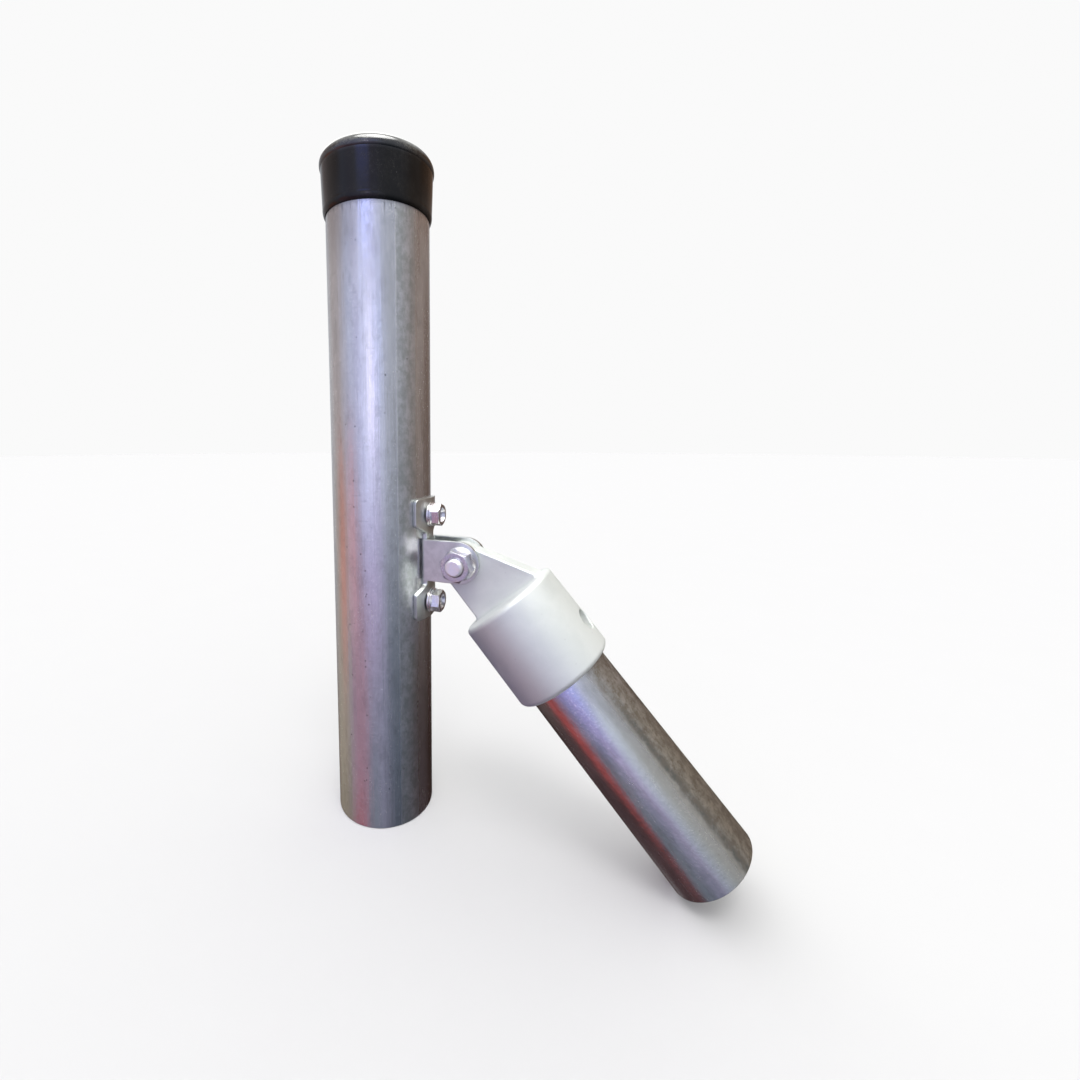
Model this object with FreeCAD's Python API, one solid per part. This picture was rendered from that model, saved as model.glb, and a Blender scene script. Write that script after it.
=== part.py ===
import FreeCAD, Part
import math
import os

V = FreeCAD.Vector

# ---------------------------------------------------------------------------
# Driving dimensions, millimetres.
# Frame: origin at the centre of the post's foot, +Z up the post,
# +X towards the strut, pivot axis parallel to Y.
# ---------------------------------------------------------------------------

# upright post, round galvanised tube
POST_R = 24.0                # outer radius, 48 mm tube
POST_WALL = 2.0
POST_TOP = 305.0             # sawn upper end, inside the cap
EDGE = 0.3                   # deburred tube edges

# push-on plastic cap
CAP_FOOT = 286.8             # lower edge of the skirt
CAP_R_FOOT = 25.15           # skirt, outside, above its rounded lower edge
CAP_R_TOP = 25.75            # skirt, outside, at the crease
CAP_CREASE_Z = 307.0         # crease between the skirt and the rim of the crown
CAP_RIM_R = 26.3             # rim of the crown, stands a little proud of the skirt
CAP_RIM_Z = 308.7
CAP_SHOULDER_R = 4.2         # radius of the rounded shoulder above the rim
CAP_TOP = 320.2
CAP_BORE_R = 24.05
CAP_LIP_H = 3.2              # height of the rounded lower edge

# pivot of the brace
PIV_X = 43.5
PIV_Z = 130.0
STRUT_ANGLE = 40.8           # strut axis from the vertical, degrees
AXIS_OFFSET = 5.1            # strut axis stands this far off the pivot

# stamped hinge bracket
SHEET = 2.0
SADDLE_R = 24.1              # inside of the saddle, lies on the post
TAB_HALF_ANGLE = 26.0        # the tabs reach this far round the post, degrees
TAB_HALF_H = 29.0
NECK_HALF_W = 4.0
NECK_HALF_H = 12.5           # where the taper of the tabs meets the neck
TAPER = 0.53                 # rise of the tapered edges per mm sideways
TAB_EDGE_R = 0.35            # rounded outer edges of the stamped tabs
EAR_INNER = 4.5              # half the gap between the ears
EAR_OUTER = 6.5
EAR_R = 9.85                 # rounded end of the ears, and half their height
EAR_END_BACK = 1.05          # centre of that round, behind the pivot
WEB_BACK = 24.25
WEB_FRONT = 26.25
BEND_OUT = 1.2
BEND_IN = 0.3
EAR_HOLE_R = 4.2
SCREW_DZ = 21.0              # screws above and below the pivot
TAB_HOLE_R = 3.3

# self-drilling hex washer-head screws, 6.3 mm, and their washers
WASHER_R = 6.0
WASHER_T = 1.0
SCREW_FLANGE_R = 5.65
SCREW_FLANGE_T = 1.0
SCREW_AF = 9.5               # across flats
SCREW_HEAD_H = 5.0
SCREW_DISH_R = 3.5
SCREW_DISH_D = 1.5
SCREW_ROOT_R = 2.7
SCREW_MAJOR_R = 3.15
SCREW_PITCH = 1.8
SCREW_LEN = 25.0
POST_HOLE_R = 2.75
SCREW_TURN_UPPER = 8.6      # how far each head happens to be turned
SCREW_TURN_LOWER = 47.0

# pivot bolt M8 and flange nut
BOLT_R = 3.98
BOLT_THREAD_R = 3.95
BOLT_ROOT_R = 3.35
BOLT_PITCH = 1.25
BOLT_HEAD_AF = 13.0
BOLT_HEAD_H = 5.3
BOLT_END_Y = -16.6
NUT_AF = 13.0
NUT_H = 8.0
NUT_FLANGE_R = 7.8
NUT_BORE_R = 4.05
NUT_TURN = -14.0

# cast strut head: lug and socket
LUG_HALF_T = 4.3
LUG_LEFT = -11.5             # left edge of the lug, from the pivot
LUG_TIP_R = 9.75
LUG_SLOPE = 31.6             # right edge of the lug, from the strut axis, degrees
LUG_BORE_R = 4.05
LUG_EDGE_R = 0.9
SOCKET_R = 23.6
SOCKET_BORE_R = 19.4
SHOULDER_S = 25.4            # distances along the strut from the pivot
SOCKET_FLOOR_S = 29.6
RIM_S = 66.2
SHOULDER_R = 2.2
LUG_FOOT_R = 2.3
RIM_R = 2.3
LOCK_HOLE_R = 4.5
LOCK_HOLE_S = 52.2
LOCK_EDGE_R = 0.5            # softened outer edge of that hole

# strut, round galvanised tube
STRUT_R = 19.0
STRUT_WALL = 1.5
STRUT_TOP_S = 31.0           # upper end, inside the socket

TH = math.radians(STRUT_ANGLE)
# the square-cut lower end stands on the ground with its lowest edge
STRUT_END_S = (PIV_Z + AXIS_OFFSET * math.sin(TH) - (STRUT_R - EDGE) * math.sin(TH)) / math.cos(TH)


# ---------------------------------------------------------------------------
# helpers
# ---------------------------------------------------------------------------

def line(a, b):
    return Part.LineSegment(a, b).toShape()


def arc(a, m, b):
    return Part.Arc(a, m, b).toShape()


def poly_face(pts):
    return Part.Face(Part.makePolygon(pts + [pts[0]]))


def turned(points):
    """Solid of revolution about Z from (radius, z) corners."""
    face = poly_face([V(r, 0, z) for r, z in points])
    return face.revolve(V(0, 0, 0), V(0, 0, 1), 360)


def tube(r_out, r_in, z0, z1, c):
    """Tube along Z with its four end edges broken by c."""
    return turned([(r_in + c, z0), (r_out - c, z0), (r_out, z0 + c), (r_out, z1 - c),
                   (r_out - c, z1), (r_in + c, z1), (r_in, z1 - c), (r_in, z0 + c)])


def hexagon(af, z0, z1, turn):
    """Hexagonal prism along Z, one corner at the angle turn."""
    rc = af / math.sqrt(3.0)
    pts = []
    for i in range(6):
        a = math.radians(turn + 60 * i)
        pts.append(V(rc * math.cos(a), rc * math.sin(a), z0))
    return poly_face(pts).extrude(V(0, 0, z1 - z0))


def hex_top(af, z_top, fall, big):
    """Bevelled envelope that rounds the corners of a hexagon at z_top."""
    rc = af / math.sqrt(3.0)
    return turned([(0, -big), (rc + 1, -big), (rc + 1, z_top - fall - (1 + rc - af / 2) * 0.58),
                   (af / 2 - fall * 0.2, z_top), (0, z_top)])


def thread(r_root, r_major, z0, z1, pitch):
    """Side corners of a thread shown as ridges from z0 down to z1."""
    pts = []
    z = z0
    while z - pitch >= z1:
        pts.append((r_root, z))
        pts.append((r_major, z - 0.38 * pitch))
        pts.append((r_major, z - 0.56 * pitch))
        z -= pitch
    pts.append((r_root, z))
    return pts


def place(shape, axis_to, origin):
    """Turn a shape built along +Z so that +Z points along axis_to."""
    s = shape.copy()
    rot = FreeCAD.Rotation(V(0, 0, 1), axis_to)
    s.Placement = FreeCAD.Placement(origin, rot).multiply(s.Placement)
    return s


def strut_frame(shape):
    """From the strut's own frame (pivot at 0, strut along -Z) to the part's."""
    s = shape.copy()
    rot = FreeCAD.Rotation(V(0, 1, 0), -STRUT_ANGLE)
    s.Placement = FreeCAD.Placement(V(PIV_X, 0, PIV_Z), rot).multiply(s.Placement)
    return s


def one_solid(shape, name):
    solids = shape.Solids
    if len(solids) != 1:
        raise RuntimeError("%s: %d solids" % (name, len(solids)))
    s = solids[0]
    if not s.isValid():
        raise RuntimeError("%s is not valid" % name)
    return s


def save(shape, name):
    s = one_solid(shape, name)
    s.exportStep("parts/%s.step" % name)
    b = s.BoundBox
    print("%-22s vol %10.1f  x %.2f..%.2f  y %.2f..%.2f  z %.2f..%.2f" % (
        name, s.Volume, b.XMin, b.XMax, b.YMin, b.YMax, b.ZMin, b.ZMax))
    return s


# ---------------------------------------------------------------------------
# upright post: sawn tube, drilled by the two screws
# ---------------------------------------------------------------------------

def make_post():
    s = tube(POST_R, POST_R - POST_WALL, 0.0, POST_TOP, EDGE)
    for dz in (SCREW_DZ, -SCREW_DZ):
        s = s.cut(Part.makeCylinder(POST_HOLE_R, 20, V(12, 0, PIV_Z + dz), V(1, 0, 0)))
    return s


# ---------------------------------------------------------------------------
# cap: tapered skirt, rounded shoulder, low crown, ledge for the tube's end
# ---------------------------------------------------------------------------

def make_cap():
    zs, rs = CAP_RIM_Z, CAP_SHOULDER_R
    cx = CAP_RIM_R - rs
    h = CAP_TOP - zs
    # crown radius for a crown tangent to the shoulder
    crown = (cx * cx + h * h - rs * rs) / (2.0 * (h - rs))
    zc = CAP_TOP - crown
    d = math.hypot(cx, zs - zc)
    ux, uz = cx / d, (zs - zc) / d
    tx, tz = ux * crown, zc + uz * crown
    mid_a = math.atan2(uz, ux) / 2.0
    sh_mid = V(cx + rs * math.cos(mid_a), 0, zs + rs * math.sin(mid_a))
    half = (math.pi / 2 + math.atan2(uz, ux)) / 2.0
    cr_mid = V(crown * math.cos(half), 0, zc + crown * math.sin(half))
    # underside of the rim: arc from the crease, upright where it meets the shoulder
    dr, dz = CAP_RIM_R - CAP_R_TOP, zs - CAP_CREASE_Z
    rho = (dr * dr + dz * dz) / (2.0 * dr)
    a_rim = math.asin(dz / rho) / 2.0
    rim_mid = V(CAP_RIM_R - rho + rho * math.cos(a_rim), 0, zs - rho * math.sin(a_rim))
    z0, r0 = CAP_FOOT, CAP_R_FOOT
    r_in = CAP_BORE_R + 0.25
    p = [V(CAP_BORE_R, 0, z0 + 0.3), V(r_in, 0, z0), V(r0, 0, z0 + CAP_LIP_H),
         V(CAP_R_TOP, 0, CAP_CREASE_Z), V(CAP_RIM_R, 0, zs), V(tx, 0, tz), V(0, 0, CAP_TOP)]
    lip_mid = V(r0 - 0.38 * (r0 - r_in), 0, z0 + 0.30 * CAP_LIP_H)
    inner_top = CAP_TOP - 2.4
    ledge = POST_R - POST_WALL - 1.0
    low = POST_TOP + 3.2
    q = [V(0, 0, inner_top), V(ledge, 0, low), V(ledge, 0, POST_TOP), V(CAP_BORE_R, 0, POST_TOP)]
    edges = [
        line(p[0], p[1]),
        arc(p[1], lip_mid, p[2]),
        line(p[2], p[3]),
        arc(p[3], rim_mid, p[4]),
        arc(p[4], sh_mid, p[5]),
        arc(p[5], cr_mid, p[6]),
        line(p[6], q[0]),
        arc(q[0], V(ledge * 0.55, 0, inner_top - 0.55 * 0.55 * (inner_top - low)), q[1]),
        line(q[1], q[2]), line(q[2], q[3]), line(q[3], p[0]),
    ]
    face = Part.Face(Part.Wire(edges))
    return face.revolve(V(0, 0, 0), V(0, 0, 1), 360)


# ---------------------------------------------------------------------------
# hinge bracket: one stamped sheet, saddle tabs above and below, two ears
# ---------------------------------------------------------------------------

def make_bracket():
    h, nw, nh = TAB_HALF_H, NECK_HALF_W, NECK_HALF_H
    ri, ro = SADDLE_R, SADDLE_R + SHEET
    half = math.radians(TAB_HALF_ANGLE)
    far = 60.0
    shell = Part.makeCylinder(ro, 2 * h, V(0, 0, PIV_Z - h)).cut(
        Part.makeCylinder(ri, 2 * h + 2, V(0, 0, PIV_Z - h - 1)))
    wedge = poly_face([V(0, 0, PIV_Z - h - 1), V(far, -far * math.tan(half), PIV_Z - h - 1),
                       V(far, far * math.tan(half), PIV_Z - h - 1)]).extrude(V(0, 0, 2 * h + 2))
    saddle = shell.common(wedge)
    for sgn in (-1, 1):
        w = 20.0
        t = nh + TAPER * (w - nw)
        pts = [(nw, -nh), (nw, nh), (w, t), (w, -t)]
        saddle = saddle.cut(poly_face([V(10, sgn * y, PIV_Z + z) for y, z in pts]).extrude(V(30, 0, 0)))

    def across(test):
        """Edges that cross the sheet from its inner to its outer face."""
        out = []
        for e in saddle.Edges:
            a, b = e.Vertexes[0].Point, e.Vertexes[-1].Point
            ra, rb = math.hypot(a.x, a.y), math.hypot(b.x, b.y)
            if abs(abs(ra - rb) - SHEET) < 0.02 and test((a + b) * 0.5):
                out.append(e)
        return out
    edge_y = 0.5 * (ri + ro) * math.sin(half)
    saddle = saddle.makeFillet(2.4, across(lambda m: abs(abs(m.z - PIV_Z) - h) < 0.01 and abs(abs(m.y) - edge_y) < 0.5))
    saddle = saddle.makeFillet(1.4, across(lambda m: abs(m.z - PIV_Z) < h - 4 and abs(abs(m.y) - edge_y) < 0.8))
    saddle = saddle.makeFillet(1.0, across(lambda m: abs(abs(m.y) - nw) < 0.3 and abs(abs(m.z - PIV_Z) - nh) < 0.3))
    # softened outer edges of the two tabs
    soft = []
    for e in saddle.Edges:
        pts = e.discretize(5)
        if all(abs(math.hypot(q.x, q.y) - ro) < 1e-3 for q in pts) and all(abs(q.z - PIV_Z) > nh + 1.2 for q in pts):
            soft.append(e)
    saddle = saddle.makeFillet(TAB_EDGE_R, soft)

    # U-shaped middle with the two ears
    ko, ki = BEND_OUT * (1 - math.sqrt(0.5)), BEND_IN * (1 - math.sqrt(0.5))
    xb, xf, yo, yi = WEB_BACK, WEB_FRONT, EAR_OUTER, EAR_INNER
    xe = PIV_X + EAR_R + 5
    z0 = PIV_Z - EAR_R

    def P(x, y):
        return V(x, y, z0)
    edges = [
        line(P(xe, -yo), P(xb + BEND_OUT, -yo)),
        arc(P(xb + BEND_OUT, -yo), P(xb + ko, -yo + ko), P(xb, -yo + BEND_OUT)),
        line(P(xb, -yo + BEND_OUT), P(xb, yo - BEND_OUT)),
        arc(P(xb, yo - BEND_OUT), P(xb + ko, yo - ko), P(xb + BEND_OUT, yo)),
        line(P(xb + BEND_OUT, yo), P(xe, yo)),
        line(P(xe, yo), P(xe, yi)),
        line(P(xe, yi), P(xf + BEND_IN, yi)),
        arc(P(xf + BEND_IN, yi), P(xf + ki, yi - ki), P(xf, yi - BEND_IN)),
        line(P(xf, yi - BEND_IN), P(xf, -yi + BEND_IN)),
        arc(P(xf, -yi + BEND_IN), P(xf + ki, -yi + ki), P(xf + BEND_IN, -yi)),
        line(P(xf + BEND_IN, -yi), P(xe, -yi)),
        line(P(xe, -yi), P(xe, -yo)),
    ]
    channel = Part.Face(Part.Wire(edges)).extrude(V(0, 0, 2 * EAR_R))
    xc = PIV_X - EAR_END_BACK
    outline = Part.makeBox(xc - 15, 30, 2 * EAR_R, V(15, -15, z0)).fuse(
        Part.makeCylinder(EAR_R, 30, V(xc, -15, PIV_Z), V(0, 1, 0))).removeSplitter()
    channel = channel.common(outline)
    s = saddle.fuse(channel).removeSplitter()
    for dz in (SCREW_DZ, -SCREW_DZ):
        s = s.cut(Part.makeCylinder(TAB_HOLE_R, 20, V(18, 0, PIV_Z + dz), V(1, 0, 0)))
    s = s.cut(Part.makeCylinder(EAR_HOLE_R, 30, V(PIV_X, -15, PIV_Z), V(0, 1, 0)))
    return s


# ---------------------------------------------------------------------------
# fasteners
# ---------------------------------------------------------------------------

def make_washer():
    c = 0.15
    return turned([(TAB_HOLE_R, 0), (WASHER_R - c, 0), (WASHER_R, c), (WASHER_R, WASHER_T - c),
                   (WASHER_R - c, WASHER_T), (TAB_HOLE_R, WASHER_T)])


def make_screw(turn):
    """Along +Z, seat of the head at z = 0, point downwards."""
    h, af = SCREW_HEAD_H, SCREW_AF
    flange = turned([(0, 0), (SCREW_FLANGE_R - 0.3, 0), (SCREW_FLANGE_R, 0.3),
                     (SCREW_FLANGE_R, SCREW_FLANGE_T - 0.25), (SCREW_FLANGE_R - 0.25, SCREW_FLANGE_T),
                     (5.2, SCREW_FLANGE_T + 0.35), (0, SCREW_FLANGE_T + 0.35)])
    head = hexagon(af, 0.4, h, turn).common(hex_top(af, h, 0.25, 5.0))
    dish = turned([(0, h - SCREW_DISH_D), (SCREW_DISH_R - 0.8, h - SCREW_DISH_D), (SCREW_DISH_R, h + 0.01),
                   (SCREW_DISH_R, h + 2), (0, h + 2)])
    head = flange.fuse(head).cut(dish).removeSplitter()
    # the plain root passes the sheet and the tube wall, the ridges follow inside the post
    z_in = -(WASHER_T + SADDLE_R + SHEET - POST_R + POST_WALL + 0.6)
    side = thread(SCREW_ROOT_R, SCREW_MAJOR_R, z_in, -SCREW_LEN + 7.5, SCREW_PITCH)
    z_end = side[-1][1]
    pts = [(0, 0.2), (SCREW_ROOT_R, 0.2)] + side
    pts += [(2.45, z_end - 0.4), (2.45, -SCREW_LEN + 2.0), (0.25, -SCREW_LEN), (0, -SCREW_LEN)]
    return head.fuse(turned(pts)).removeSplitter()


def make_bolt():
    """Along +Z, seat of the head at z = 0, end of the thread downwards."""
    h, af = BOLT_HEAD_H, BOLT_HEAD_AF
    head = hexagon(af, 0.35, h, 10.0).common(hex_top(af, h, 0.3, 5.0))
    face = turned([(0, 0), (5.9, 0), (5.9, 0.6), (0, 0.6)])
    end = -(EAR_OUTER - BOLT_END_Y)
    z_plain = -(EAR_OUTER + EAR_INNER + 0.6)
    side = thread(BOLT_ROOT_R, BOLT_THREAD_R, z_plain - 0.4, end + 0.9, BOLT_PITCH)
    z_last = side[-1][1]
    pts = [(0, 0.3), (BOLT_R, 0.3), (BOLT_R, z_plain)] + side
    # lead-in and flat end
    pts += [(BOLT_THREAD_R - 0.05, min(z_last - 0.35, end + 0.55)), (3.15, end), (0, end)]
    return head.fuse(face).fuse(turned(pts)).removeSplitter()


def make_nut():
    """Along +Z, flange seat at z = 0."""
    h, af = NUT_H, NUT_AF
    flange = turned([(0, 0), (NUT_FLANGE_R - 0.35, 0), (NUT_FLANGE_R, 0.35), (NUT_FLANGE_R, 0.95),
                     (NUT_FLANGE_R - 0.4, 1.3), (6.6, 2.35), (0, 2.35)])
    body = hexagon(af, 0.5, h, NUT_TURN).common(hex_top(af, h, 0.3, 5.0))
    s = flange.fuse(body).removeSplitter()
    bore = turned([(0, -1), (NUT_BORE_R + 0.5, -1), (NUT_BORE_R + 0.5, 0), (NUT_BORE_R, 0.5),
                   (NUT_BORE_R, h - 0.55), (NUT_BORE_R + 0.55, h), (NUT_BORE_R + 0.55, h + 1), (0, h + 1)])
    return s.cut(bore)


# ---------------------------------------------------------------------------
# strut head: flat lug on a round socket, one casting
# ---------------------------------------------------------------------------

def make_head():
    e = AXIS_OFFSET
    sl = math.radians(LUG_SLOPE)
    ds, du = math.cos(sl), math.sin(sl)
    cu = LUG_LEFT + LUG_TIP_R                       # centre of the rounded tip
    # (s, u): tangent point of the sloping edge on the tip, then its end in the shoulder
    ts, tu = -du * LUG_TIP_R, cu + ds * LUG_TIP_R
    deep = SHOULDER_S + 2.0
    k = (deep - ts) / ds
    es, eu = deep, tu + du * k

    def P(s_, u_):
        return V(u_, -LUG_HALF_T, -s_)
    a0 = math.atan2(-ts, tu - cu)                   # angle in the (u, up) plane
    mid = (a0 + math.pi) / 2.0
    m = P(-LUG_TIP_R * math.sin(mid), cu + LUG_TIP_R * math.cos(mid))
    wire = Part.Wire([
        line(P(deep, LUG_LEFT), P(0, LUG_LEFT)),
        arc(P(0, LUG_LEFT), m, P(ts, tu)),
        line(P(ts, tu), P(es, eu)),
        line(P(es, eu), P(deep, LUG_LEFT)),
    ])
    lug = Part.Face(wire).extrude(V(0, 2 * LUG_HALF_T, 0))
    rim = []
    for ed in lug.Edges:
        ys = [v.Point.y for v in ed.Vertexes]
        zs = [v.Point.z for v in ed.Vertexes]
        flat = max(ys) - min(ys) < 1e-6
        foot = max(zs) - min(zs) < 1e-6 and abs(zs[0] + deep) < 1e-6
        if flat and not foot:
            rim.append(ed)
    lug = lug.makeFillet(LUG_EDGE_R, rim)

    ax = V(e, 0, 0)
    body = Part.makeCylinder(SOCKET_R, RIM_S - SHOULDER_S, V(e, 0, -RIM_S))
    s = body.fuse(lug).removeSplitter()

    # fillet where the lug stands on the shoulder
    foot = []
    for ed in s.Edges:
        pts = [v.Point for v in ed.Vertexes]
        if all(abs(p.z + SHOULDER_S) < 1e-4 for p in pts) and abs(ed.CenterOfMass.z + SHOULDER_S) < 1e-4:
            if ed.Curve.TypeId == "Part::GeomCircle" and abs(ed.Curve.Radius - SOCKET_R) < 1e-3:
                continue
            foot.append(ed)
    s = s.makeFillet(LUG_FOOT_R, foot)

    # rounded shoulder and rim
    top, low = [], []
    for ed in s.Edges:
        if ed.Curve.TypeId == "Part::GeomCircle" and abs(ed.Curve.Radius - SOCKET_R) < 1e-3:
            zc = ed.CenterOfMass.z
            if abs(zc + SHOULDER_S) < 1e-3:
                top.append(ed)
            elif abs(zc + RIM_S) < 1e-3:
                low.append(ed)
    s = s.makeFillet(SHOULDER_R, top)
    low = [ed for ed in s.Edges if ed.Curve.TypeId == "Part::GeomCircle"
           and abs(ed.Curve.Radius - SOCKET_R) < 1e-3 and abs(ed.CenterOfMass.z + RIM_S) < 1e-3]
    s = s.makeFillet(RIM_R, low)

    # bore for the strut, with a broken mouth edge
    bore = turned([(0, -SOCKET_FLOOR_S), (SOCKET_BORE_R, -SOCKET_FLOOR_S), (SOCKET_BORE_R, -RIM_S + 0.6),
                   (SOCKET_BORE_R + 0.6, -RIM_S), (SOCKET_BORE_R + 0.6, -RIM_S - 1), (0, -RIM_S - 1)])
    bore.translate(ax)
    s = s.cut(bore)
    # hole for the locking screw, pivot bore
    s = s.cut(Part.makeCylinder(LOCK_HOLE_R, 15, V(e + 15, 0, -LOCK_HOLE_S), V(1, 0, 0)))
    mouth = []
    for ed in s.Edges:
        pts = ed.discretize(9)
        if all(abs(math.hypot(q.x - e, q.y) - SOCKET_R) < 1e-3 and
               abs(math.hypot(q.y, q.z + LOCK_HOLE_S) - LOCK_HOLE_R) < 1e-2 for q in pts):
            mouth.append(ed)
    s = s.makeFillet(LOCK_EDGE_R, mouth)
    s = s.cut(Part.makeCylinder(LUG_BORE_R, 30, V(0, -15, 0), V(0, 1, 0)))
    return strut_frame(s)


def make_strut():
    t = tube(STRUT_R, STRUT_R - STRUT_WALL, -STRUT_END_S, -STRUT_TOP_S, EDGE)
    t.translate(V(AXIS_OFFSET, 0, 0))
    return strut_frame(t)


# ---------------------------------------------------------------------------
# the assembly
# ---------------------------------------------------------------------------

def build():
    seat_x = SADDLE_R + SHEET
    parts = {}
    parts["post_tube"] = make_post()
    parts["post_cap"] = make_cap()
    parts["hinge_bracket"] = make_bracket()
    for word, dz, turn in (("upper", SCREW_DZ, SCREW_TURN_UPPER), ("lower", -SCREW_DZ, SCREW_TURN_LOWER)):
        z = PIV_Z + dz
        parts["screw_washer_" + word] = place(make_washer(), V(1, 0, 0), V(seat_x, 0, z))
        parts["bracket_screw_" + word] = place(make_screw(turn), V(1, 0, 0), V(seat_x + WASHER_T, 0, z))
    parts["pivot_bolt"] = place(make_bolt(), V(0, 1, 0), V(PIV_X, EAR_OUTER, PIV_Z))
    parts["flange_nut"] = place(make_nut(), V(0, -1, 0), V(PIV_X, -EAR_OUTER, PIV_Z))
    parts["strut_head"] = make_head()
    parts["strut_tube"] = make_strut()
    return parts


if __name__ == "__main__":
    os.makedirs("parts", exist_ok=True)
    for name, shape in build().items():
        save(shape, name)
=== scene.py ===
import math

import bpy
from mathutils import Matrix, Vector

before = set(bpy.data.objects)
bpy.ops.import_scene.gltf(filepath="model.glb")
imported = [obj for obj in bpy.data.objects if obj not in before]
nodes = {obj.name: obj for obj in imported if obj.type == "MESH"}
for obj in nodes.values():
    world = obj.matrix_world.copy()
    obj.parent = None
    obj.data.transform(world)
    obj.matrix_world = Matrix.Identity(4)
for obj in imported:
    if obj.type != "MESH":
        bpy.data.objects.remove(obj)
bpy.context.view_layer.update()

# ---------------------------------------------------------------------------
# the part's own geometry, metres, as far as the finishes need it
# ---------------------------------------------------------------------------
MM = 0.001
PIVOT = Vector((43.5, 0.0, 130.0))          # mm
TILT = math.radians(40.8)                   # strut from the vertical
STRUT_AXIS = Vector((math.sin(TILT), 0.0, -math.cos(TILT)))
STRUT_UP = Vector((math.cos(TILT), 0.0, math.sin(TILT)))
STRUT_OFFSET = 5.1


# ---------------------------------------------------------------------------
# small node-graph helper
# ---------------------------------------------------------------------------
class Graph:
    def __init__(self, tree):
        self.t = tree

    def new(self, kind, **attrs):
        n = self.t.nodes.new(kind)
        for k, v in attrs.items():
            setattr(n, k, v)
        return n

    def put(self, socket, value):
        if isinstance(value, bpy.types.NodeSocket):
            self.t.links.new(value, socket)
        elif value is not None:
            if hasattr(socket.default_value, "__len__") and not hasattr(value, "__len__"):
                value = (value,) * len(socket.default_value)
            if hasattr(value, "__len__") and len(value) == 3 and len(socket.default_value) == 4:
                value = (*value, 1.0)
            socket.default_value = value

    def math(self, op, a, b=None, c=None, clamp=False):
        n = self.new("ShaderNodeMath", operation=op, use_clamp=clamp)
        for i, v in enumerate((a, b, c)):
            if v is not None:
                self.put(n.inputs[i], v)
        return n.outputs[0]

    def add(self, a, b):
        return self.math("ADD", a, b)

    def sub(self, a, b):
        return self.math("SUBTRACT", a, b)

    def mul(self, a, b):
        return self.math("MULTIPLY", a, b)

    def vec(self, op, a, b=None):
        n = self.new("ShaderNodeVectorMath", operation=op)
        self.put(n.inputs[0], a)
        if b is not None:
            if op == "SCALE":
                self.put(n.inputs["Scale"], b)
            else:
                self.put(n.inputs[1], b)
        return n.outputs["Value"] if op in ("DOT_PRODUCT", "LENGTH", "DISTANCE") else n.outputs["Vector"]

    def split(self, v):
        n = self.new("ShaderNodeSeparateXYZ")
        self.put(n.inputs[0], v)
        return n.outputs

    def join(self, x, y, z):
        n = self.new("ShaderNodeCombineXYZ")
        for i, v in enumerate((x, y, z)):
            self.put(n.inputs[i], v)
        return n.outputs[0]

    def step(self, v, lo, hi, a=0.0, b=1.0, smooth=True):
        n = self.new("ShaderNodeMapRange", interpolation_type="SMOOTHSTEP" if smooth else "LINEAR")
        for s, x in zip(n.inputs[:5], (v, lo, hi, a, b)):
            self.put(s, x)
        return n.outputs[0]

    def mix(self, fac, a, b, blend="MIX"):
        n = self.new("ShaderNodeMix", data_type="RGBA", blend_type=blend)
        self.put(n.inputs[0], fac)
        self.put(n.inputs[6], a)
        self.put(n.inputs[7], b)
        return n.outputs[2]

    def noise(self, v, scale, detail=2.0, rough=0.5, distort=0.0):
        n = self.new("ShaderNodeTexNoise")
        self.put(n.inputs["Vector"], v)
        self.put(n.inputs["Scale"], scale)
        self.put(n.inputs["Detail"], detail)
        self.put(n.inputs["Roughness"], rough)
        self.put(n.inputs["Distortion"], distort)
        return n.outputs["Fac"]

    def cells(self, v, scale, feature="F1", rand=1.0):
        n = self.new("ShaderNodeTexVoronoi", feature=feature)
        self.put(n.inputs["Vector"], v)
        self.put(n.inputs["Scale"], scale)
        self.put(n.inputs["Randomness"], rand)
        return n.outputs

    def coords(self):
        n = self.new("ShaderNodeTexCoord")
        return self.vec("SCALE", n.outputs["Object"], 1000.0)

    def bump(self, height, dist_mm, strength=1.0, normal=None):
        n = self.new("ShaderNodeBump")
        self.put(n.inputs["Height"], height)
        n.inputs["Distance"].default_value = dist_mm * MM
        n.inputs["Strength"].default_value = strength
        if normal is not None:
            self.put(n.inputs["Normal"], normal)
        return n.outputs[0]

    def rounded(self, radius_mm, samples=6):
        n = self.new("ShaderNodeBevel", samples=samples)
        n.inputs["Radius"].default_value = radius_mm * MM
        return n.outputs[0]


def material(name):
    m = bpy.data.materials.new(name)
    m.use_nodes = True
    m.node_tree.nodes.clear()
    g = Graph(m.node_tree)
    out = g.new("ShaderNodeOutputMaterial")
    b = g.new("ShaderNodeBsdfPrincipled")
    m.node_tree.links.new(b.outputs[0], out.inputs[0])
    return m, g, b


def wear(node, mat):
    """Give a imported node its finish."""
    me = nodes[node].data
    me.materials.clear()
    me.materials.append(mat)


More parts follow.
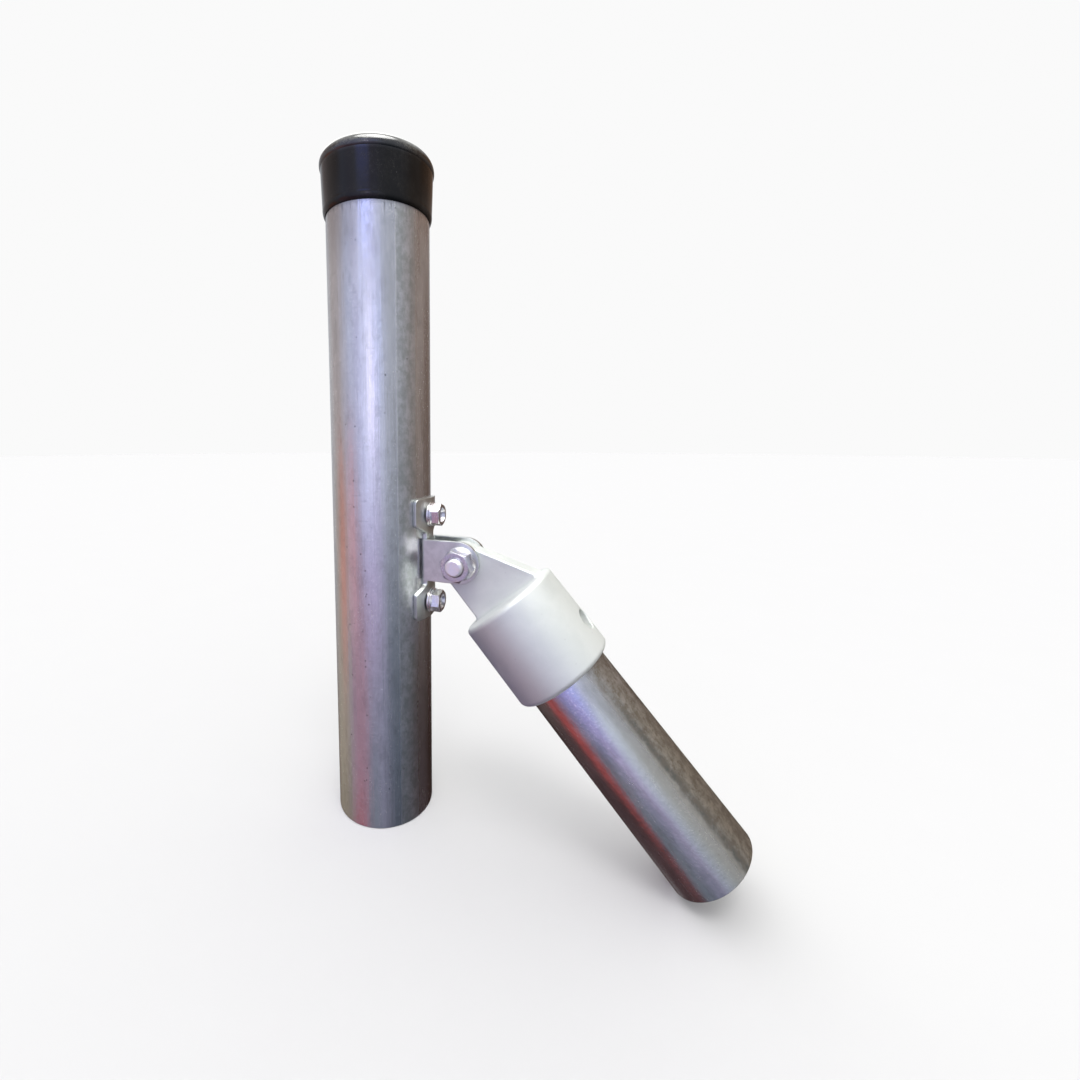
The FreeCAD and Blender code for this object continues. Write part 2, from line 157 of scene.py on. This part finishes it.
# ---------------------------------------------------------------------------
# galvanised tubes: drawn streaks, clouded zinc, specks, weld line; painted shade under the post's cap, painted
# reflection, glints and highlight on the strut
# ---------------------------------------------------------------------------
def tube_material(name, strut):
    m, g, b = material(name)
    p = g.coords()
    if strut:
        d = g.vec("SUBTRACT", p, tuple(PIVOT))
        along = g.vec("DOT_PRODUCT", d, tuple(STRUT_AXIS))
        across = g.sub(g.vec("DOT_PRODUCT", d, tuple(STRUT_UP)), STRUT_OFFSET)
        side = g.split(p)[1]
        p = g.join(across, side, along)
    x, y, z = g.split(p)
    az = g.mul(g.math("ARCTAN2", y, x), 180.0 / math.pi)

    streak = g.noise(g.vec("MULTIPLY", p, (1, 1, 0.012)), 0.55, 3.0, 0.6)
    fine = g.noise(g.vec("MULTIPLY", p, (1, 1, 0.03)), 2.6, 2.0, 0.6)
    cloud = g.noise(g.vec("MULTIPLY", p, (1, 1, 0.35)), 0.11, 4.0, 0.58, 0.4)
    patch = g.noise(g.vec("MULTIPLY", p, (1, 1, 0.30)), 0.045, 4.0, 0.6, 0.6)
    spangle = g.cells(g.vec("MULTIPLY", p, (1, 1, 0.6)), 0.30)
    grain = g.noise(p, 1.6, 3.0, 0.65)

    # colour of the zinc
    if strut:
        col = g.mix(g.step(cloud, 0.36, 0.66), (0.60, 0.61, 0.62), (0.72, 0.725, 0.735))
        col = g.mix(g.mul(g.step(patch, 0.40, 0.64), 0.40), col, (0.58, 0.54, 0.50))
    else:
        col = g.mix(g.step(cloud, 0.34, 0.68), (0.665, 0.67, 0.685), (0.715, 0.72, 0.735))
        col = g.mix(g.mul(g.step(patch, 0.44, 0.70), 0.16), col, (0.60, 0.55, 0.51))
    col = g.mix(g.step(streak, 0.52, 0.78, 0.0, 0.22), col, (0.46, 0.46, 0.48))
    col = g.mix(g.step(streak, 0.48, 0.24, 0.0, 0.22), col, (0.84, 0.84, 0.87))
    col = g.mix(g.step(fine, 0.55, 0.75, 0.0, 0.18), col, (0.45, 0.45, 0.47))
    tone = g.split(spangle["Color"])[0]
    col = g.mix(0.10 if strut else 0.05, col, g.join(tone, tone, tone), "OVERLAY")
    blotch = g.noise(g.vec("MULTIPLY", p, (1, 1, 0.45)), 0.20, 6.0, 0.68, 0.2)
    col = g.mix(g.step(blotch, 0.50, 0.70, 0.0, 0.36), col, (0.42, 0.425, 0.42))
    col = g.mix(g.step(blotch, 0.48, 0.28, 0.0, 0.28), col, (0.88, 0.885, 0.89))
    scuff = g.noise(g.vec("MULTIPLY", p, (0.14, 0.14, 1)), 1.0, 4.0, 0.7)
    col = g.mix(g.step(scuff, 0.56, 0.76, 0.0, 0.30), col, (0.40, 0.405, 0.41))
    # tiny dark pits
    pits = g.cells(g.vec("MULTIPLY", p, (1, 1, 0.8)), 0.26)
    keep = g.step(g.split(pits["Color"])[1], 0.64, 0.70)
    dot = g.mul(g.step(pits["Distance"], 0.115, 0.045), keep)
    col = g.mix(g.mul(dot, 0.75), col, (0.10, 0.10, 0.11))

    # roughness follows the clouds and the streaks
    rough = g.add(g.add(0.235, g.mul(g.sub(cloud, 0.5), 0.20 if strut else 0.10)), g.mul(g.sub(streak, 0.5), 0.12))
    rough = g.add(rough, g.mul(g.sub(grain, 0.5), 0.10))

    height = g.add(g.mul(fine, 0.35), g.mul(streak, 0.8))
    height = g.add(height, g.mul(grain, 0.35))
    height = g.sub(height, g.mul(dot, 1.5))

    if strut:
        # painted blue reflection and painted glints on the zinc next to the socket
        painted_blue_reflection = g.mul(g.step(z, 112.0, 62.0), g.mul(g.step(az, -104.0, -90.0), g.step(az, -62.0, -76.0)))
        painted_glint_flecks = g.step(g.noise(p, 0.95, 3.0, 0.7), 0.52, 0.68)
        col = g.mix(g.mul(painted_blue_reflection, 0.80), col, (0.56, 0.62, 0.90))
        col = g.mix(g.mul(painted_blue_reflection, g.mul(painted_glint_flecks, 0.65)), col, (0.93, 0.94, 1.0))
        # painted highlight: a lighter band along the strut where it mirrors the bright light
        painted_highlight_band = g.mul(g.step(z, 72.0, 92.0), g.mul(g.step(az, -80.0, -70.0), g.step(az, -52.0, -61.0)))
        col = g.mix(g.mul(painted_highlight_band, 0.75), col, (0.85, 0.90, 0.87))
        # dark weld seam and the scuffed, stained upper side
        low = g.mul(g.step(z, 60.0, 118.0), g.step(g.math("COSINE", g.mul(g.sub(az, 10.0), math.pi / 180)), 0.02, 0.42))
        col = g.mix(g.mul(low, 0.72), col, (0.60, 0.56, 0.44))
        wob = g.mul(g.sub(g.noise(g.vec("MULTIPLY", p, (0.2, 0.2, 1)), 0.16, 4.0, 0.7), 0.5), 7.0)
        da = g.math("ABSOLUTE", g.add(g.add(az, 38.0), wob))
        worn = g.noise(p, 0.30, 4.0, 0.7)
        seam = g.mul(g.step(da, g.add(4.5, g.mul(worn, 5.0)), 1.5), g.step(worn, 0.30, 0.55, 0.35, 1.0))
        seam = g.mul(seam, g.step(z, 72.0, 92.0, 0.15, 1.0))
        col = g.mix(g.mul(seam, 0.88), col, (0.14, 0.16, 0.145))
        up = g.step(g.math("COSINE", g.mul(g.sub(az, 10.0), math.pi / 180)), 0.44, 0.70)
        blot = g.noise(g.vec("MULTIPLY", p, (1, 1, 0.8)), 0.34, 8.0, 0.78, 0.2)
        col = g.mix(g.mul(up, g.step(blot, 0.36, 0.62, 0.22, 1.0)), col, (0.29, 0.265, 0.215))
        chips = g.noise(g.vec("MULTIPLY", p, (1, 1, 0.8)), 0.85, 6.0, 0.80, 0.4)
        chip = g.mul(g.step(chips, 0.58, 0.66), g.step(g.noise(p, 0.06, 2.0), 0.40, 0.56))
        col = g.mix(g.mul(g.mul(chip, 0.60), g.add(0.06, g.mul(up, 0.94))), col, (0.74, 0.68, 0.63))
        rough = g.add(rough, g.mul(up, g.add(0.15, g.mul(chip, 0.15))))
        height = g.add(height, g.sub(g.mul(up, g.add(g.mul(chip, 0.9), g.mul(blot, 3.0))), g.mul(seam, 1.6)))
    else:
        # fine bright weld line, and the dull mottled zinc beside it
        wob = g.mul(g.sub(g.noise(g.vec("MULTIPLY", p, (0.2, 0.2, 1)), 0.05, 2.0, 0.6), 0.5), 1.6)
        zone = g.mul(g.step(az, -45.0, -42.0), g.step(az, -16.0, -27.0))
        mott = g.noise(g.vec("MULTIPLY", p, (1, 1, 0.75)), 0.30, 7.0, 0.72)
        col = g.mix(g.mul(zone, g.step(mott, 0.36, 0.64, 0.06, 0.95)), col, (0.45, 0.475, 0.455))
        rough = g.add(rough, g.mul(zone, 0.12))
        # painted shade: the zinc darkened on the left, some way below the cap
        rub_wear_and_painted_shade = g.mul(g.step(z, 254.0, 278.0), g.step(az, -70.0, -92.0))
        col = g.mix(g.mul(rub_wear_and_painted_shade, g.step(cloud, 0.30, 0.60, 0.30, 0.55)), col, (0.40, 0.395, 0.40))
        smear = g.noise(g.vec("MULTIPLY", p, (1, 1, 0.12)), 0.22, 5.0, 0.68, 0.3)
        brown = g.mul(g.step(smear, 0.50, 0.66), g.step(az, -24.0, -8.0))
        col = g.mix(g.mul(brown, 0.42), col, (0.42, 0.36, 0.32))
        rough = g.add(rough, g.mul(brown, 0.08))
        # painted shade just under the cap, its lower edge run down in dirt drip marks
        drip = g.noise(g.vec("MULTIPLY", p, (1, 1, 0.02)), 0.75, 2.0, 0.6)
        drip_dirt_and_painted_shade = g.step(z, g.sub(284.6, g.mul(g.step(drip, 0.54, 0.76), 7.0)), 287.0)
        col = g.mix(g.mul(drip_dirt_and_painted_shade, 0.55), col, (0.20, 0.20, 0.22))
        da = g.math("ABSOLUTE", g.add(g.add(az, 44.0), wob))
        broken = g.step(g.noise(g.vec("MULTIPLY", p, (0.1, 0.1, 1)), 0.10, 3.0, 0.6), 0.40, 0.56, 0.25, 1.0)
        line = g.mul(g.step(da, 1.25, 0.35), broken)
        col = g.mix(g.mul(line, 0.45), col, (0.90, 0.90, 0.91))
        height = g.add(height, g.mul(line, 0.6))

    g.put(b.inputs["Base Color"], col)
    b.inputs["Metallic"].default_value = 1.0
    g.put(b.inputs["Roughness"], g.math("MINIMUM", g.math("MAXIMUM", rough, 0.12), 0.6))
    b.inputs["Anisotropic"].default_value = 0.25
    if strut:
        wave = g.bump(g.noise(g.vec("MULTIPLY", p, (1, 1, 0.15)), 0.09, 2.0, 0.5), 0.06, 0.6)
        wave = g.bump(g.noise(g.vec("MULTIPLY", p, (1, 1, 0.7)), 0.62, 3.0, 0.6), 0.10, 0.8, wave)
    else:
        wave = g.bump(g.noise(g.vec("MULTIPLY", p, (1, 1, 0.005)), 0.32, 2.0, 0.5), 0.05, 0.7)
        wave = g.bump(g.noise(g.vec("MULTIPLY", p, (1, 1, 0.018)), 0.85, 3.0, 0.6), 0.10, 0.8, wave)
        wave = g.bump(g.noise(g.vec("MULTIPLY", p, (1, 1, 0.6)), 0.60, 3.0, 0.65), 0.06, 0.8, wave)
    g.put(b.inputs["Normal"], g.bump(height, 0.012, 0.7, wave))
    return m


# ---------------------------------------------------------------------------
# zinc-plated sheet, satin
# ---------------------------------------------------------------------------
def sheet_material():
    m, g, b = material("zinc_sheet_satin")
    p = g.coords()
    cloud = g.noise(p, 0.16, 4.0, 0.6, 0.4)
    grain = g.noise(p, 3.2, 3.0, 0.7)
    rub_wear_and_painted_shade = g.noise(g.vec("MULTIPLY", p, (0.25, 1, 0.25)), 0.9, 3.0, 0.6)
    col = g.mix(g.step(cloud, 0.34, 0.68), (0.60, 0.625, 0.60), (0.71, 0.73, 0.71))
    col = g.mix(g.step(grain, 0.55, 0.8, 0.0, 0.25), col, (0.45, 0.45, 0.46))
    col = g.mix(g.step(rub_wear_and_painted_shade, 0.58, 0.78, 0.0, 0.30), col, (0.86, 0.86, 0.88))
    g.put(b.inputs["Base Color"], col)
    b.inputs["Metallic"].default_value = 1.0
    g.put(b.inputs["Roughness"], g.add(0.34, g.add(g.mul(g.sub(cloud, 0.5), 0.18), g.mul(g.sub(grain, 0.5), 0.18))))
    g.put(b.inputs["Normal"], g.bump(grain, 0.012, 0.7, g.rounded(0.35)))
    return m


# ---------------------------------------------------------------------------
# bright zinc-plated fasteners with a thin passivation film
# ---------------------------------------------------------------------------
def fastener_material(name, dull, pale):
    m, g, b = material(name)
    p = g.coords()
    film = g.noise(p, 0.22, 2.0, 0.5, 0.6)
    grain = g.noise(p, 3.5, 3.0, 0.6)
    nick = g.noise(p, 0.9, 4.0, 0.7, 1.4)
    col = g.mix(g.step(film, 0.38, 0.62), (0.80 + pale, 0.80 + pale, 0.86 + pale), (0.84 + pale, 0.80 + pale, 0.80 + pale))
    col = g.mix(g.step(nick, 0.60, 0.72, 0.0, 0.45), col, (0.50, 0.51, 0.53))
    g.put(b.inputs["Base Color"], col)
    b.inputs["Metallic"].default_value = 1.0
    g.put(b.inputs["Roughness"], g.add(0.22 + dull, g.add(g.mul(g.sub(grain, 0.5), 0.14), g.step(nick, 0.58, 0.74, 0.0, 0.15))))
    g.put(b.inputs["Normal"], g.bump(g.add(g.mul(grain, 0.6), nick), 0.015, 0.6, g.rounded(0.25)))
    return m


# ---------------------------------------------------------------------------
# tumbled aluminium casting, pale and matt
# ---------------------------------------------------------------------------
def cast_material():
    m, g, b = material("cast_aluminium_matt")
    p = g.coords()
    cloud = g.noise(p, 0.07, 4.0, 0.55, 0.5)
    grain = g.noise(p, 2.8, 4.0, 0.7)
    peel = g.noise(p, 0.8, 3.0, 0.55)
    dents = g.cells(p, 0.42)
    keep = g.step(g.split(dents["Color"])[0], 0.86, 0.9)
    dent = g.mul(keep, g.step(dents["Distance"], 0.22, 0.06))
    col = g.mix(g.step(cloud, 0.34, 0.68), (0.765, 0.795, 0.77), (0.82, 0.845, 0.82))
    col = g.mix(g.step(grain, 0.56, 0.80, 0.0, 0.20), col, (0.62, 0.62, 0.62))
    col = g.mix(g.mul(dent, 0.25), col, (0.55, 0.55, 0.55))
    g.put(b.inputs["Base Color"], col)
    b.inputs["Metallic"].default_value = 0.50
    g.put(b.inputs["Roughness"], g.add(0.57, g.add(g.mul(g.sub(grain, 0.5), 0.2), g.mul(g.sub(cloud, 0.5), 0.12))))
    height = g.sub(g.add(g.mul(grain, 0.5), g.mul(peel, 0.8)), g.mul(dent, 0.8))
    g.put(b.inputs["Normal"], g.bump(height, 0.02, 0.7))
    return m


# ---------------------------------------------------------------------------
# black moulded plastic cap
# ---------------------------------------------------------------------------
def cap_material():
    m, g, b = material("black_plastic_gloss")
    p = g.coords()
    x, y, z = g.split(p)
    cloud = g.noise(p, 0.10, 3.0, 0.6)
    peel = g.noise(p, 0.55, 2.0, 0.5)
    scratch = g.noise(g.vec("MULTIPLY", p, (1, 1, 0.10)), 1.3, 3.0, 0.7, 0.5)
    drag = g.noise(g.vec("MULTIPLY", p, (1, 1, 0.05)), 0.35, 4.0, 0.65)
    specks = g.cells(p, 0.32)
    speck = g.mul(g.step(g.split(specks["Color"])[0], 0.88, 0.91), g.step(specks["Distance"], 0.13, 0.05))
    dust = g.mul(g.noise(p, 0.75, 5.0, 0.70, 0.15), g.step(g.noise(p, 0.10, 3.0, 0.6), 0.36, 0.60, 0.80, 1.12))
    shoulder = g.step(z, 306.6, 309.5)
    col = g.mix(g.step(cloud, 0.35, 0.7), (0.0022, 0.0016, 0.0012), (0.0060, 0.0045, 0.0034))
    col = g.mix(g.mul(g.step(dust, 0.44, 0.76), g.add(0.03, g.mul(shoulder, 0.40))), col, (0.30, 0.305, 0.26))
    col = g.mix(g.step(drag, 0.55, 0.80, 0.0, 0.12), col, (0.07, 0.066, 0.055))
    col = g.mix(g.mul(speck, 0.30), col, (0.16, 0.155, 0.145))
    g.put(b.inputs["Base Color"], col)
    rough = g.add(g.add(0.11, g.step(scratch, 0.5, 0.8, 0.0, 0.12)), g.mul(g.step(dust, 0.52, 0.75), 0.10))
    g.put(b.inputs["Roughness"], rough)
    b.inputs["IOR"].default_value = 1.58
    g.put(b.inputs["Specular IOR Level"], g.step(z, 305.5, 309.0, 0.31, 1.0))
    g.put(b.inputs["Normal"], g.bump(g.add(g.add(peel, g.mul(scratch, 0.25)), g.mul(drag, 0.6)), 0.02, 0.6))
    return m


POST = tube_material("galvanised_post_tube", False)
STRUT = tube_material("galvanised_strut_tube", True)
SHEET = sheet_material()
ZINC = fastener_material("zinc_fastener_bright", 0.03, -0.06)
NUT = fastener_material("zinc_nut_grey", 0.05, -0.17)
BOLT = fastener_material("zinc_bolt_satin", 0.26, 0.08)
CAST = cast_material()
CAP = cap_material()

wear("post_tube", POST)
wear("strut_tube", STRUT)
wear("hinge_bracket", SHEET)
wear("strut_head", CAST)
wear("post_cap", CAP)
for n in ("screw_washer_upper", "screw_washer_lower", "bracket_screw_upper", "bracket_screw_lower"):
    wear(n, ZINC)
wear("flange_nut", NUT)
wear("pivot_bolt", BOLT)

# ---------------------------------------------------------------------------
# stage: plain pale floor
# ---------------------------------------------------------------------------
fm, fg, fb = material("floor_pale")
fb.inputs["Roughness"].default_value = 0.9
fb.inputs["Specular IOR Level"].default_value = 0.0
fp = fg.coords()
fg.put(fb.inputs["Base Color"], fg.mix(fg.noise(fp, 0.02, 4.0, 0.6), (0.688, 0.676, 0.688), (0.698, 0.686, 0.698)))

bpy.ops.mesh.primitive_circle_add(vertices=96, radius=8.0, fill_type="NGON", location=(0.05, 0, 0))
floor = bpy.context.object
floor.name = "floor"
floor.data.materials.append(fm)
floor.visible_glossy = False
floor.visible_diffuse = False
floor.visible_shadow = False

# ---------------------------------------------------------------------------
# light: a soft tinted surround and one large soft key
# ---------------------------------------------------------------------------
FLOOR_TONE = (0.955, 0.955, 0.955)

world = bpy.data.worlds.new("studio")
bpy.context.scene.world = world
world.use_nodes = True
world.node_tree.nodes.clear()
world.cycles.sampling_method = "NONE"
w = Graph(world.node_tree)
ray = w.vec("NORMALIZE", w.new("ShaderNodeTexCoord").outputs["Generated"])
rx, ry, rz = w.split(ray)
flat = w.vec("NORMALIZE", w.join(rx, ry, 0.0))
el = w.mul(w.math("ARCSINE", rz), 180.0 / math.pi)


def aim(azimuth, elevation=0.0):
    a, e = math.radians(azimuth), math.radians(elevation)
    return Vector((math.cos(a) * math.cos(e), math.sin(a) * math.cos(e), math.sin(e)))


def within(dot, inner, outer):
    return w.step(dot, math.cos(math.radians(outer)), math.cos(math.radians(inner)))


def spot(azimuth, elevation, inner, outer):
    """Round soft card."""
    return within(w.vec("DOT_PRODUCT", ray, tuple(aim(azimuth, elevation))), inner, outer)


def sector(azimuth, inner, outer):
    """Wall seen over a range of azimuth."""
    return within(w.vec("DOT_PRODUCT", flat, tuple(aim(azimuth))), inner, outer)


def strip(first, second, inner, outer):
    """Tall narrow card that runs through two directions."""
    a, b = aim(*first), aim(*second)
    off = w.vec("DOT_PRODUCT", ray, tuple(a.cross(b).normalized()))
    off = w.mul(w.math("ARCSINE", w.math("ABSOLUTE", off)), 180.0 / math.pi)
    return w.mul(w.step(off, outer, inner), w.step(w.vec("DOT_PRODUCT", ray, tuple(a + b)), 0.0, 0.4))


def card(room, mask, colour):
    return w.mix(mask, room, colour)


# what the metal mirrors: a warm dim wall on the right, a blue-grey one in
# front, a mauve one on the left and a beige one beyond it, over a dark ground
up = w.step(el, -38.0, 11.0)
front, left, beyond = sector(-47, 1, 64), sector(-124, 42, 86), sector(-181, 1, 47)
room = w.mix(up, (0.06, 0.044, 0.046), (0.345, 0.283, 0.252))
room = card(room, front, w.mix(up, (0.09, 0.115, 0.155), (0.51, 0.54, 0.62)))
room = card(room, left, w.mix(up, (0.30, 0.30, 0.42), (0.60, 0.64, 0.84)))
room = card(room, beyond, w.mix(up, (0.40, 0.35, 0.275), (0.51, 0.46, 0.46)))
room = card(room, w.mul(beyond, w.step(el, -33, -42)), (0.26, 0.23, 0.175))
shade = w.mul(sector(92, 22, 48), w.step(el, 26, 8))
room = card(room, shade, w.mix(up, (0.03, 0.015, 0.012), (0.20, 0.145, 0.12)))
# tall lavender soft strip left of the viewpoint, with a bright window in it
tall = strip((-92, 5), (-95, 27), 1.5, 36)
room = card(room, w.mul(tall, w.step(el, -28, -20)), (0.51, 0.38, 0.61))
room = card(room, w.mul(tall, w.step(el, -25, 0)), w.mix(w.step(el, 13, 20), (0.79, 0.845, 1.19), (0.79, 0.84, 1.03)))
room = card(room, spot(-84, 7, 6, 12), (1.25, 1.23, 1.50))
room = card(room, spot(-81, 5.5, 1.5, 5.5), (2.4, 2.25, 3.4))
# muted red and rose cards low on the left, a violet one in front
room = card(room, spot(-166, -13, 3, 18), (0.64, 0.32, 0.26))
room = card(room, spot(-122, -32, 1, 27), (0.415, 0.258, 0.335))
room = card(room, spot(-134, -11, 1, 17), (0.69, 0.41, 0.47))
room = card(room, spot(-67, 12, 1, 13), (0.79, 0.865, 1.27))
room = card(room, w.step(el, -33, -63), (0.077, 0.046, 0.05))
room = card(room, w.mul(spot(-130, -47, 1, 19), w.step(el, -36, -45)), (0.46, 0.086, 0.080))
room = card(room, spot(-90, -46, 3, 17), (0.17, 0.205, 0.25))
room = card(room, w.mul(spot(-56, 0, 3, 12), 0.6), (0.74, 0.79, 0.97))
# a pale grey wall at the rear, and pale ground straight below
room = card(room, w.mul(sector(128, 14, 44), w.step(el, -34, -14)), w.mix(up, (0.36, 0.36, 0.375), (0.60, 0.615, 0.645)))
room = card(room, spot(126, 8, 5, 12), (1.15, 1.17, 1.22))
away = w.sub(1.0, sector(-150, 85, 115))
room = card(room, w.mul(away, w.step(el, -52, -68)), (0.50, 0.50, 0.515))
# higher up, both sides are dimmer and warmer
high = w.mul(w.step(el, 21.5, 25.5), w.step(el, 42, 34))
room = card(room, w.mul(high, sector(67, 20, 42)), (0.27, 0.165, 0.11))
room = card(room, w.mul(high, sector(-173, 20, 40)), (0.42, 0.36, 0.355))
# white overhead, a panel high behind, a blue card above the strip
room = card(room, w.step(el, 34, 62), (1.3, 1.31, 1.31))
room = card(room, spot(-66, 70, 20, 27), (7.2, 7.2, 7.1))
room = card(room, spot(132, 52, 14, 24), (3.0, 3.0, 2.95))
room = card(room, w.mul(sector(-90, 3, 17), w.mul(w.step(el, 21, 25), w.step(el, 39, 33))), (1.0, 1.12, 2.35))

# what lights the matt surfaces: a plain white dome over a dark ground, dimmer
# low on the left where the wall is mauve
dome = w.mix(w.step(el, -4, 16), (0.03, 0.02, 0.035), (1.43, 1.46, 1.42))
dome = w.mix(w.mul(sector(-130, 35, 85), w.step(el, 62, 12)), dome, (0.115, 0.085, 0.23))

path = w.new("ShaderNodeLightPath")
bg = w.new("ShaderNodeBackground")
w.put(bg.inputs[0], w.mix(path.outputs["Is Glossy Ray"], dome, room))
plain = w.new("ShaderNodeBackground")
w.put(plain.inputs[0], FLOOR_TONE)
pick = w.new("ShaderNodeMixShader")
w.put(pick.inputs[0], path.outputs["Is Camera Ray"])
world.node_tree.links.new(bg.outputs[0], pick.inputs[1])
world.node_tree.links.new(plain.outputs[0], pick.inputs[2])
world.node_tree.links.new(pick.outputs[0], w.new("ShaderNodeOutputWorld").inputs[0])

sun = bpy.data.lights.new("soft_key", "SUN")
sun.energy = 0.55
sun.angle = math.radians(20)
sun.color = (1.0, 0.995, 0.98)
key = bpy.data.objects.new("soft_key", sun)
key.rotation_mode = "QUATERNION"
key.rotation_quaternion = aim(-62, 70).to_track_quat("Z", "Y")
bpy.context.scene.collection.objects.link(key)

# ---------------------------------------------------------------------------
# camera at the photograph's viewpoint
# ---------------------------------------------------------------------------
YAW, PITCH = math.radians(21.01), math.radians(6.14)
cam_data = bpy.data.cameras.new("camera")
cam_data.sensor_fit = "HORIZONTAL"
cam_data.sensor_width = 36.0
cam_data.lens = 482.6 / 1080.0 * 36.0
cam_data.shift_x = (540.0 - 450.0) / 1080.0
cam_data.shift_y = (493.3 - 540.0) / 1080.0
cam_data.clip_start, cam_data.clip_end = 0.005, 50.0
cam = bpy.data.objects.new("camera", cam_data)
right = Vector((math.cos(YAW), math.sin(YAW), 0.0))
ahead = Vector((-math.sin(YAW) * math.cos(PITCH), math.cos(YAW) * math.cos(PITCH), -math.sin(PITCH)))
upward = right.cross(ahead)
cam.matrix_world = Matrix((
    (right.x, upward.x, -ahead.x, 0.11666),
    (right.y, upward.y, -ahead.y, -0.21009),
    (right.z, upward.z, -ahead.z, 0.18565),
    (0, 0, 0, 1)))
bpy.context.scene.collection.objects.link(cam)
bpy.context.scene.camera = cam

view = bpy.context.scene.view_settings
view.view_transform = "Standard"
view.look = "None"
